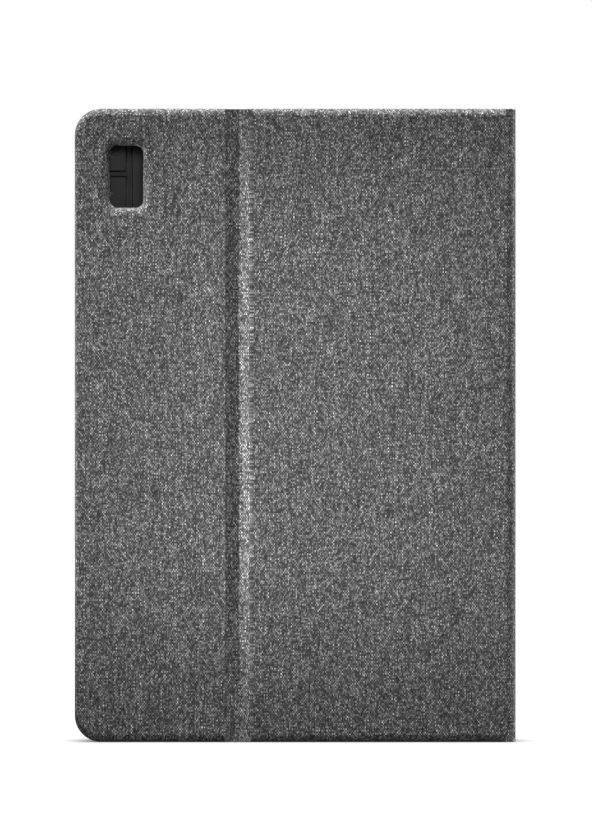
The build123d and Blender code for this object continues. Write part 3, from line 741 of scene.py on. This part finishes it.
class CASE_OT_folds(Operator):
    """Make the spine and the three folds"""

    bl_idname = "case.folds"
    bl_label = "Spine and folds"

    def execute(self, context):
        cover = context.scene.case_cover
        end_inset = 0.25 * MM
        lining_inset = 1.0 * MM
        face_gap = 0.02 * MM  # keeps the stand fold's lining just inside the panels' faces
        groove_steps = 3 * FOLD_STEPS
        flat_steps = 12
        z_low, z_high = end_inset, HEIGHT - end_inset
        quarter = math.pi / 2 * FOLD_R

        roll = cover.spine_roll
        spine_t = PANEL_T - FOLD_LINING_T
        low, high = (-FOLD_Y, 0), (FOLD_Y, HEIGHT)
        spine = rolled_plate(low, high, (0, 0), (0, 0, roll), roll, spine_t, cover.roll_steps)
        lay_cloth(spine, COVER_END + quarter + FOLD_Y, 1)
        place_plate(spine, facing_spine(SPINE_OUT))
        piece = finish_piece(spine, "spine_cloth", FINISH["cloth"], "spine", "spine_fabric")

        back_profile = arc((COVER_END, -FOLD_Y), FOLD_R, -90, 0, FOLD_STEPS)
        bm = swept_strip(back_profile, FOLD_CLOTH_T, z_low, z_high, COVER_END)
        back_fold = finish_piece(
            bm, "back_fold_cloth", FINISH["cloth"], None, "back_fold_strip"
        )
        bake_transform(back_fold)

        front_profile = arc((COVER_END, FOLD_Y), FOLD_R, 0, 90, FOLD_STEPS)
        bm = swept_strip(front_profile, FOLD_CLOTH_T, z_low, z_high, COVER_END + quarter + 2 * FOLD_Y)
        front_fold = finish_piece(
            bm, "front_fold_cloth", FINISH["cloth"], None, "front_fold_strip"
        )
        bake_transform(front_fold)

        low_x, high_x = UPPER_HIGH.x, LOWER_LOW.x
        profile = trough(low_x, high_x, cover.groove_depth, cover.groove_shoulder, BACK_OUT, groove_steps)
        bm = swept_strip(profile, FOLD_CLOTH_T, z_low, z_high, low_x)
        # the groove gets the lighter cloth, which carries a painted highlight
        groove = finish_piece(
            bm, "stand_fold_cloth", FINISH["pressed"], None, "stand_fold_strip"
        )
        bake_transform(groove)

        z_low, z_high = z_low + lining_inset, z_high - lining_inset
        inner_r = FOLD_R - FOLD_CLOTH_T - FOLD_GAP
        for name, centre_y, span, bodies in (
            ("back_fold_lining", -FOLD_Y, (-90, 0), ("back_lower", "spine")),
            ("front_fold_lining", FOLD_Y, (0, 90), ("spine", "front_cover")),
        ):
            profile = arc((COVER_END, centre_y), inner_r, *span, FOLD_STEPS)
            bm = swept_strip(profile, FOLD_LINING_T, z_low, z_high, 0)
            piece = finish_piece(bm, name, FINISH["lining"], None, None)
            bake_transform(piece)
        level = UPPER_HIGH.y - face_gap
        width = high_x - low_x
        inner = [(low_x + width * i / flat_steps, level - FOLD_LINING_T) for i in range(flat_steps + 1)]
        bm = swept_strip(inner, -FOLD_LINING_T, z_low, z_high, 0)
        piece = finish_piece(bm, "stand_fold_lining", FINISH["lining"], None, None)
        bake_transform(piece)
        return {"FINISHED"}


class CASE_OT_linings(Operator):
    """Make the suede linings, a little proud of the cloth that is turned in round them"""

    bl_idname = "case.linings"
    bl_label = "Linings"

    def execute(self, context):
        cover = context.scene.case_cover
        turn_in = cover.turn_in
        window_low, window_high = window_corners()
        back_in = UPPER_HIGH.y
        front_in = FRONT_LOW.y
        corner = cover.corner_radius - turn_in
        edge = 0.12 * MM  # rounding of the suede's cut edge
        edge_steps = 2
        window_margin = 1.5 * MM
        hole_corner = 4 * MM
        wide_low = (window_low[0] - window_margin, window_low[1] - window_margin)
        wide_high = (window_high[0] + window_margin, window_high[1] + window_margin)
        sheets = (
            ("back_upper", FREE_EDGE + turn_in, UPPER_HIGH.x, corner, facing_front(back_in)),
            ("back_lower", LOWER_LOW.x, COVER_END, 0, facing_front(back_in)),
            ("front_cover", FREE_EDGE + turn_in, COVER_END, corner, facing_back(front_in)),
            ("spine", -FOLD_Y, FOLD_Y, 0, facing_spine(SPINE_LOW.x) @ Matrix.Scale(-1, 4, (0, 1, 0))),
        )
        for body, x_low, x_high, radius, place in sheets:
            low, high = (x_low, turn_in), (x_high, HEIGHT - turn_in)
            hole = (wide_low, wide_high, hole_corner, edge) if body == "back_upper" else None
            rolls = (edge, edge, edge)
            bm = rolled_plate(low, high, (radius, 0), rolls, edge, cover.suede_t, edge_steps, hole)
            place_plate(bm, place)
            piece = finish_piece(
                bm, f"{body}_suede", FINISH["lining"], body, f"{body}_lining"
            )
        return {"FINISHED"}


class CASE_OT_frame_finishes(Operator):
    """Give the moulded, metal and hidden CAD pieces their finishes"""

    bl_idname = "case.frame_finishes"
    bl_label = "Frame finishes"

    def execute(self, context):
        for finish, nodes in NODE_FINISH.items():
            for node in nodes:
                paint(frame["nodes"][node], FINISH[finish])
        for node in LEGENDS:
            paint(frame["nodes"][node], FINISH["keycap"])
        return {"FINISHED"}


def paint(piece, material):
    """Put one material in every slot of a CAD node."""
    if not piece.material_slots:
        piece.data.materials.append(material)
    for slot in piece.material_slots:
        slot.material = material


def cap_places(node):
    """Lowest and highest corner of every keycap in a node, from the user's left."""
    same_corner = 1e-6
    work = bmesh.new()
    work.from_mesh(frame["nodes"][node].data)
    bmesh.ops.remove_doubles(work, verts=work.verts[:], dist=same_corner)
    left = set(work.verts)
    boxes = []
    while left:
        island, edge = set(), [left.pop()]
        while edge:
            vert = edge.pop()
            island.add(vert)
            for other in (e.other_vert(vert) for e in vert.link_edges):
                if other in left:
                    left.discard(other)
                    edge.append(other)
        low = Vector([min(v.co[i] for v in island) for i in range(3)])
        high = Vector([max(v.co[i] for v in island) for i in range(3)])
        boxes.append((low, high))
    work.free()
    return sorted(boxes, key=lambda b: -b[0].z)


class CASE_OT_legends(Operator):
    """Print plain legends on the keycaps"""

    bl_idname = "case.legends"
    bl_label = "Legends"

    def execute(self, context):
        same_point = 1e-7
        # text that reads along x and up y is turned to read along -z and up x, facing -y
        turned = Matrix(((0, 1, 0), (0, 0, -1), (-1, 0, 0))).to_4x4()
        for node, words in LEGENDS.items():
            if not words:
                continue
            joined = bmesh.new()
            for word, (low, high) in zip(words, cap_places(node)):
                curve = bpy.data.curves.new("legend", "FONT")
                curve.body = word
                curve.size = LETTER_SIZE if len(word) == 1 else WORD_SIZE
                curve.align_x = "CENTER"
                curve.align_y = "CENTER"
                curve.extrude = INK_T
                curve.resolution_u = 3
                holder = bpy.data.objects.new("legend", curve)
                context.scene.collection.objects.link(holder)
                context.view_layer.update()
                shaped = holder.evaluated_get(context.evaluated_depsgraph_get())
                mesh = bpy.data.meshes.new_from_object(shaped)
                bpy.data.objects.remove(holder)
                centre = Vector(((low.x + high.x) / 2, low.y, (low.z + high.z) / 2))
                mesh.transform(Matrix.Translation(centre) @ turned)
                joined.from_mesh(mesh)
            bmesh.ops.remove_doubles(joined, verts=joined.verts[:], dist=same_point)
            finish_piece(joined, f"{node}_print", FINISH["ink"], node, None, smooth=0)
        return {"FINISHED"}


# ---------------------------------------------------------------- stage


def far_lamp(name, toward_lamp, strength, spread_deg):
    """A large soft lamp so far away that its light is parallel, seen in this direction from the case."""
    lamp = bpy.data.lights.new(name, "SUN")
    lamp.energy = strength
    lamp.angle = math.radians(spread_deg)
    holder = bpy.data.objects.new(name, lamp)
    holder.rotation_euler = (-Vector(toward_lamp)).to_track_quat("-Z", "Y").to_euler()
    bpy.context.scene.collection.objects.link(holder)


def pool_lamp(name, target, toward_lamp, distance, watts, size, spread_deg):
    """A narrow strip lamp with a tight beam that makes an upright pool of light on the cover."""
    lamp = bpy.data.lights.new(name, "AREA")
    lamp.energy = watts
    lamp.shape = "RECTANGLE"
    lamp.size, lamp.size_y = size
    lamp.spread = math.radians(spread_deg)
    holder = bpy.data.objects.new(name, lamp)
    direction = Vector(toward_lamp).normalized()
    holder.location = target + distance * direction
    holder.rotation_euler = (-direction).to_track_quat("-Z", "Y").to_euler()
    bpy.context.scene.collection.objects.link(holder)


class CASE_OT_stage(Operator):
    """Set the white floor, the soft lights and the camera"""

    bl_idname = "case.stage"
    bl_label = "Stage"

    def execute(self, context):
        stage = context.scene.case_stage
        scene = context.scene
        floor_reach = 4.0
        film_width = 36.0
        far_clip = 50.0
        world = bpy.data.worlds.new("studio")
        world.use_nodes = True
        # the lens sees a white sweep, while the case is lit by a dimmer surround
        tree = world.node_tree
        path = add_node(tree, "ShaderNodeLightPath")
        seen = add_node(
            tree,
            "ShaderNodeMix",
            {"data_type": "FLOAT"},
            {"Factor": path.outputs["Is Camera Ray"], 2: stage.surround, 3: 1.0},
        )
        background = tree.nodes["Background"]
        background.inputs["Color"].default_value = (1, 1, 1, 1)
        tree.links.new(seen.outputs[0], background.inputs["Strength"])
        scene.world = world

        floor_bm = bmesh.new()
        bmesh.ops.create_grid(floor_bm, x_segments=1, y_segments=1, size=floor_reach)
        mesh = bpy.data.meshes.new("floor")
        floor_bm.to_mesh(mesh)
        floor_bm.free()
        floor = bpy.data.objects.new("floor", mesh)
        scene.collection.objects.link(floor)
        material, tree, shader = new_material("white_paper_sweep")
        # the floor glows white to the lens, with a painted shadow where the case touches it, and throws no
        # light back
        shader.inputs["Base Color"].default_value = linear("#3a3a3a")
        shader.inputs["Roughness"].default_value = 1.0
        shader.inputs["Specular IOR Level"].default_value = 0.0
        path = add_node(tree, "ShaderNodeLightPath")
        # painted contact shadow: ambient occlusion dims the floor's glow near the case
        painted_contact_shadow = add_node(
            tree, "ShaderNodeAmbientOcclusion", {"samples": 32}, {"Distance": stage.contact_reach}
        )
        glow_with_painted_shadow = add_node(
            tree,
            "ShaderNodeMath",
            {"operation": "MULTIPLY"},
            {0: path.outputs["Is Camera Ray"], 1: painted_contact_shadow.outputs["AO"]},
        )
        tree.links.new(glow_with_painted_shadow.outputs[0], shader.inputs["Emission Strength"])
        shader.inputs["Emission Color"].default_value = (1, 1, 1, 1)
        mesh.materials.append(material)

        lamps = (
            ("overhead", (0.0, -0.09, 1.0), 8.6, 8),
            ("front_fill", (0.1, -1.0, 0.3), 0.42, 20),
            ("right_rim", (0.88, 0.475, 0.0), 5.5, 30),
        )
        for name, toward_lamp, strength, spread in lamps:
            far_lamp(name, toward_lamp, strength, spread)
        pool_lamp(
            "left_key",
            target=Vector((0.0, BACK_OUT, 0.136)),
            toward_lamp=(-0.951, -0.309, 0.0),
            distance=1.5,
            watts=0.078,
            size=(0.02, 0.2),
            spread_deg=4.4,
        )

        camera_data = bpy.data.cameras.new("camera")
        camera_data.sensor_width = film_width
        camera_data.lens = film_width * stage.camera_distance / stage.view_height
        camera_data.clip_end = far_clip
        camera = bpy.data.objects.new("camera", camera_data)
        camera.location = (stage.camera_side, BACK_OUT - stage.camera_distance, stage.camera_height)
        camera.rotation_euler = (math.pi / 2, 0, 0)
        scene.collection.objects.link(camera)
        scene.camera = camera
        scene.view_settings.view_transform = "Standard"
        return {"FINISHED"}


class CASE_PT_panel(Panel):
    """The case's steps in the sidebar"""

    bl_idname = "CASE_PT_panel"
    bl_label = "Tablet keyboard case"
    bl_space_type = "VIEW_3D"
    bl_region_type = "UI"
    bl_category = "Case"

    def draw(self, context):
        column = self.layout.column()
        for group in (context.scene.case_cover, context.scene.case_cloth, context.scene.case_stage):
            for name in group.__annotations__:
                column.prop(group, name)
        for step in STEPS:
            column.operator(step.bl_idname)


STEPS = (
    CASE_OT_back_cover,
    CASE_OT_front_cover,
    CASE_OT_folds,
    CASE_OT_linings,
    CASE_OT_frame_finishes,
    CASE_OT_legends,
    CASE_OT_stage,
)
GROUPS = {"case_cover": CoverSettings, "case_cloth": ClothSettings, "case_stage": StageSettings}


def register():
    for group in GROUPS.values():
        bpy.utils.register_class(group)
    for name, group in GROUPS.items():
        setattr(bpy.types.Scene, name, PointerProperty(type=group))
    for step in STEPS:
        bpy.utils.register_class(step)
    bpy.utils.register_class(CASE_PT_panel)


def unregister():
    bpy.utils.unregister_class(CASE_PT_panel)
    for step in reversed(STEPS):
        bpy.utils.unregister_class(step)
    for name, group in reversed(list(GROUPS.items())):
        delattr(bpy.types.Scene, name)
        bpy.utils.unregister_class(group)


def main():
    register()
    FINISH.update(finishes())
    for step in STEPS:
        group, name = step.bl_idname.split(".")
        getattr(getattr(bpy.ops, group), name)()


if __name__ == "__main__":
    main()
